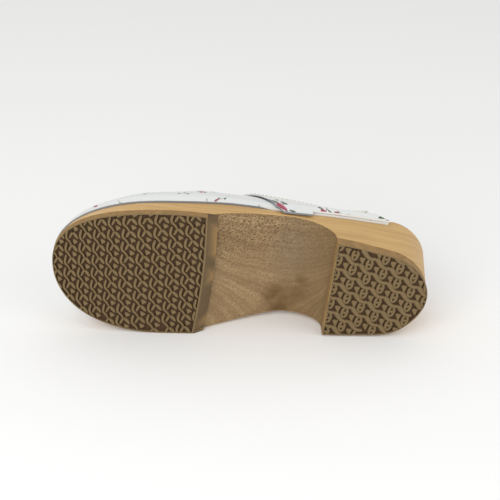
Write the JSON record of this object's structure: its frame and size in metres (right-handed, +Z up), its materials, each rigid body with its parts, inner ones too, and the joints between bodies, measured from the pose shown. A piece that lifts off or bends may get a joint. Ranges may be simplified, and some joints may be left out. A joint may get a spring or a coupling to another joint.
{
  "type": "clog",
  "caption": "Left wooden-soled clog with a block heel, a closed flower-printed leather upper, an open back, a rolled topline and ribbed rubber treads, lying on its side.",
  "frame": {"origin": "centre of the bounding box in plan, at its bottom, which is the floor the clog lies on", "axes": "+Z up; the clog lies on its medial side with the toe towards -X, the heel towards +X, and the sole facing -Y"},
  "size_m": [0.2492, 0.1064, 0.0923],
  "materials": {
    "sole_wood": "waxed",
    "forefoot_tread": "matte",
    "heel_tread": "matte",
    "upper": "glossy",
    "collar": "glossy",
    "topline_binding": "satin"
  },
  "bodies": {
    "root": {"sole_wood": "sole_wood", "forefoot_tread": "forefoot_tread", "heel_tread": "heel_tread", "upper": "upper", "collar": "collar", "topline_binding": "topline_binding"}
  },
  "joints": []
}
